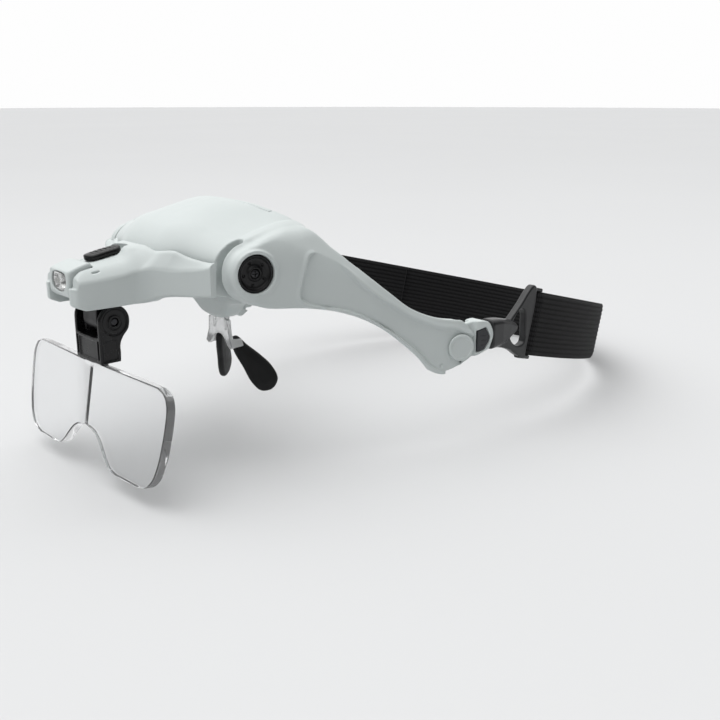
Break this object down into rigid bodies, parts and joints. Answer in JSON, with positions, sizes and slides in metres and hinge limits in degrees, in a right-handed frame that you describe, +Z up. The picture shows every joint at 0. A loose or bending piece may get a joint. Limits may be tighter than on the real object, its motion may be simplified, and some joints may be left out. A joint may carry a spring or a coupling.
{
  "type": "lighted magnifier glasses",
  "caption": "Head-worn magnifier with a tilting double lens and lamp head on a hinged front arm, domed brow, side wings, nose pads and an elastic head strap.",
  "frame": {"origin": "middle of the brow's forehead face, where it seats on the head", "axes": "+Z up, -Y is the way the wearer looks, +X is the wearer's left"},
  "size_m": [0.1446, 0.2726, 0.0909],
  "materials": {
    "white_body": "cool off-white, satin, fine moulded texture",
    "black_plastic": "black, satin",
    "steel": "plain zinc-plated",
    "contact_steel": "nickel-plated spring steel",
    "battery_wrap": "plain shrink wrap",
    "clear_bridge": "clear moulded plastic, slightly milky",
    "pad_silicone": "matte black silicone",
    "circuit_board": "green solder mask",
    "led_resin": "clear epoxy",
    "reflector": "bright plated",
    "clear_window": "clear, polished",
    "clear_acrylic": "clear, polished faces and edges",
    "latch_grey": "dark grey, satin",
    "buckle_grey": "dark grey, satin sheen",
    "elastic": "black ribbed elastic webbing"
  },
  "bodies": {
    "head_frame": {"brow_shell": "white_body", "inner_cover": "white_body", "cover_screws": "steel", "aaa_cells": "battery_wrap", "battery_contacts": "contact_steel", "wing_left": "white_body", "wing_right": "white_body", "pivot_pins": "steel", "pivot_cap_left": "black_plastic", "pivot_cap_right": "black_plastic", "pivot_screws": "steel", "nose_bridge": "clear_bridge", "nose_pad_left": "pad_silicone", "nose_pad_right": "pad_silicone", "tail_disc_left": "white_body", "tail_disc_right": "white_body", "tail_pins": "steel"},
    "battery_door": {"battery_door": "white_body"},
    "visor_arm": {"arm_shell": "white_body", "arm_cover": "white_body", "arm_screws": "steel", "lens_lug": "black_plastic", "lamp_pin": "steel", "switch_board": "circuit_board", "switch_body": "steel"},
    "switch": {"switch_slider": "black_plastic"},
    "lamp_head": {"lamp_housing": "white_body", "lamp_board": "circuit_board", "leds": "led_resin", "lamp_reflector": "reflector", "lamp_window": "clear_window"},
    "lens_bracket": {"lens_bracket": "black_plastic", "bracket_pin": "steel"},
    "lens": {"lens_plate": "clear_acrylic"},
    "strap_sockets": {"socket_left": "white_body", "socket_right": "white_body"},
    "latch_left": {"latch_left": "latch_grey"},
    "latch_right": {"latch_right": "latch_grey"},
    "strap": {"buckle_left": "buckle_grey", "buckle_right": "buckle_grey", "elastic_strap": "elastic"}
  },
  "joints": [
    {"name": "visor_tilt", "type": "hinge", "parent": "head_frame", "child": "visor_arm", "pos_m": [0, -0.0174, 0.0008], "axis": [1, 0, 0], "range_deg": [-30, 5]},
    {"name": "lamp_tilt", "type": "hinge", "parent": "visor_arm", "child": "lamp_head", "pos_m": [0, -0.0584, -0.0015], "axis": [1, 0, 0], "range_deg": [-2, 24]},
    {"name": "switch_slide", "type": "slide", "parent": "visor_arm", "child": "switch", "axis": [0, 0.9854, 0.1701], "range_m": [0, 0.002]},
    {"name": "lens_tilt", "type": "hinge", "parent": "visor_arm", "child": "lens_bracket", "pos_m": [0, -0.0518, -0.0156], "axis": [1, 0, 0], "range_deg": [-75, 15]},
    {"name": "lens_pull", "type": "slide", "parent": "lens_bracket", "child": "lens", "axis": [0, 0, -1], "range_m": [0, 0.012]},
    {"name": "battery_door_slide", "type": "slide", "parent": "head_frame", "child": "battery_door", "axis": [0, 0, 1], "range_m": [0, 0.03]},
    {"name": "strap_swivel", "type": "hinge", "parent": "head_frame", "child": "strap_sockets", "pos_m": [0, 0.0563, -0.0326], "axis": [1, 0, 0], "range_deg": [-4, 4]},
    {"name": "latch_left_press", "type": "slide", "parent": "strap_sockets", "child": "latch_left", "axis": [-1, 0, 0], "range_m": [0, 0.0008], "stiffness_N_per_m": 400},
    {"name": "latch_right_press", "type": "slide", "parent": "strap_sockets", "child": "latch_right", "axis": [1, 0, 0], "range_m": [0, 0.0008], "stiffness_N_per_m": 400},
    {"name": "strap_unplug", "type": "slide", "parent": "strap_sockets", "child": "strap", "axis": [0, 1, 0], "range_m": [0, 0.008]}
  ]
}
